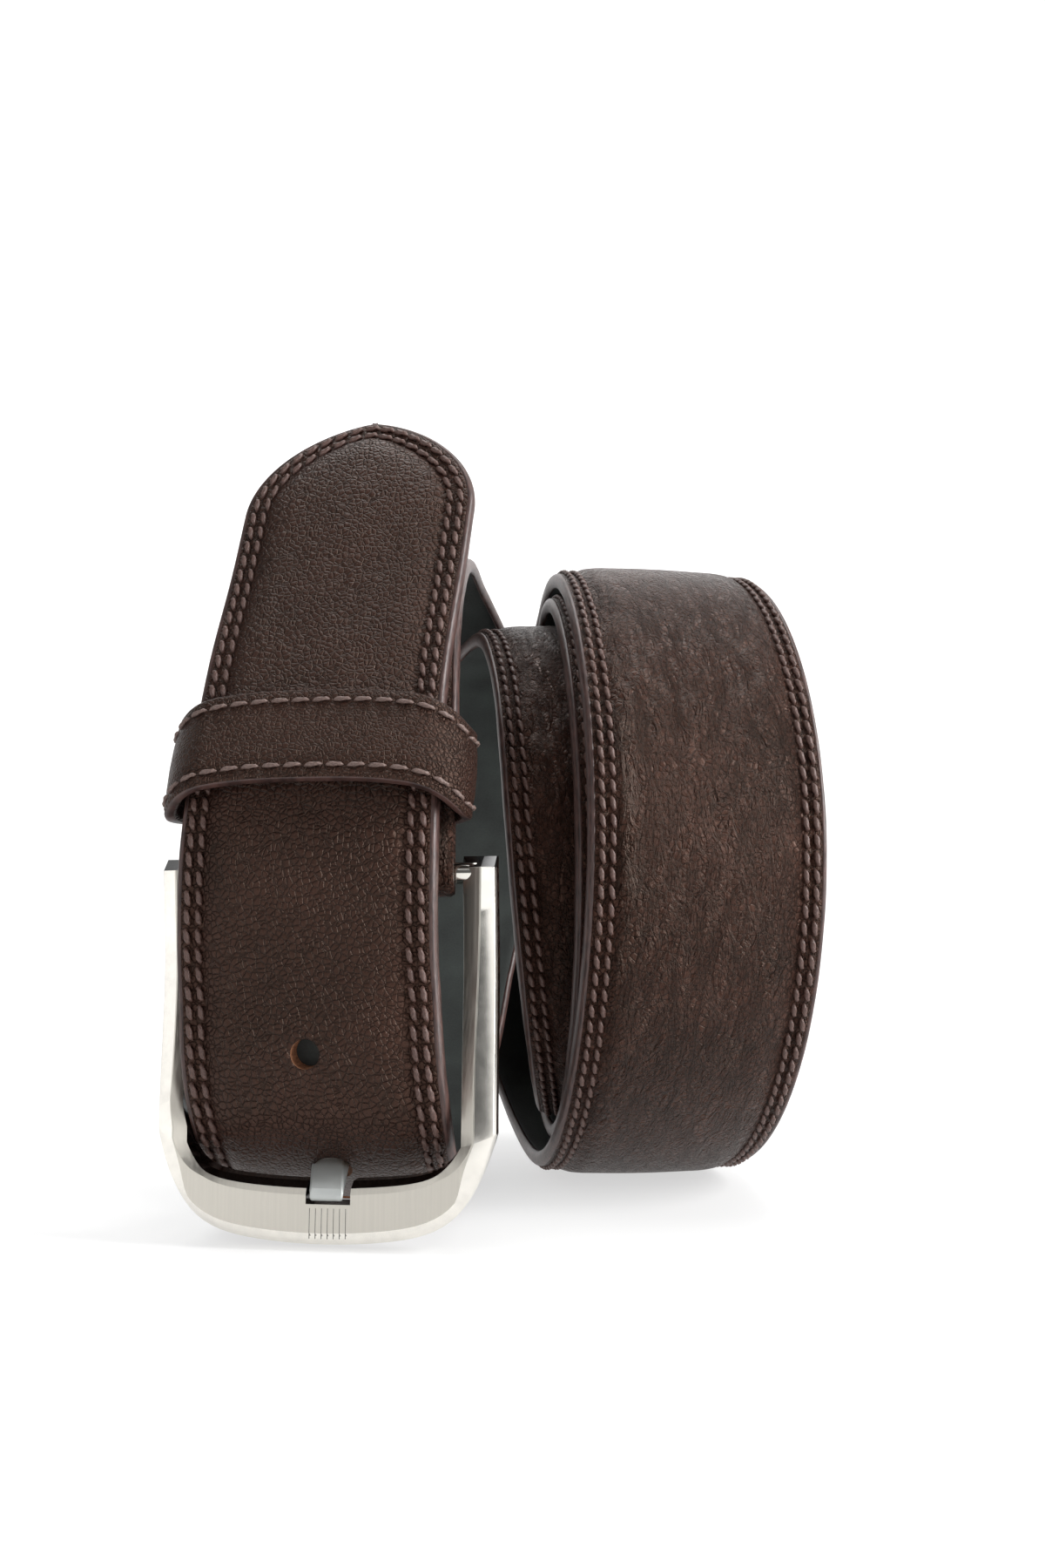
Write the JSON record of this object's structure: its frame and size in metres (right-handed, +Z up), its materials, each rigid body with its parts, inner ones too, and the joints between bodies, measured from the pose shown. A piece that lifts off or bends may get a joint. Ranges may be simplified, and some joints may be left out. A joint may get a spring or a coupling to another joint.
{
  "type": "leather belt",
  "caption": "Padded leather dress belt with stitched edges, buckled into a loop and wound into a standing coil, with a single-prong buckle and keeper.",
  "frame": {"origin": "centre of the bounding box's underside, on the floor", "axes": "+X along the coil's axis away from the buckle, -Y towards the buckle's front, +Z up"},
  "size_m": [0.094, 0.1271, 0.1207],
  "materials": {
    "face_leather": "semi-gloss full grain, dark brown",
    "lining_leather": "matte black split leather",
    "filler_felt": "fibre board filler",
    "thread": "waxed brown thread",
    "nickel": "nickel plate, brushed and polished"
  },
  "bodies": {
    "strap": {"strap_face_leather": "face_leather", "strap_filler": "filler_felt", "strap_lining": "lining_leather", "outer_edge_thread": "thread", "inner_edge_thread": "thread", "fold_cross_thread": "thread"},
    "frame": {"buckle_frame": "nickel", "hinge_bar": "nickel"},
    "prong": {"prong": "nickel"},
    "keeper": {"keeper_band": "face_leather", "keeper_upper_thread": "thread", "keeper_lower_thread": "thread"}
  },
  "joints": [
    {"name": "buckle_hinge", "type": "hinge", "parent": "strap", "child": "frame", "pos_m": [-0.02355, -0.0513, 0.04833], "axis": [-0.9903, 0.1392, 0], "range_deg": [0, 12], "stiffness_Nm_per_rad": 0.2, "deforming": ["strap_face_leather", "strap_filler", "strap_lining", "outer_edge_thread", "inner_edge_thread"]},
    {"name": "prong_hinge", "type": "hinge", "parent": "strap", "child": "prong", "pos_m": [-0.02355, -0.0513, 0.04833], "axis": [-0.9903, 0.1392, 0], "range_deg": [0, 12]},
    {"name": "keeper_slide", "type": "slide", "parent": "strap", "child": "keeper", "axis": [0.0408, 0.2901, 0.9561], "range_m": [-0.003, 0.003]}
  ],
  "couplings": [
    {"joint": "prong_hinge", "follows": "buckle_hinge", "ratio": 1}
  ]
}
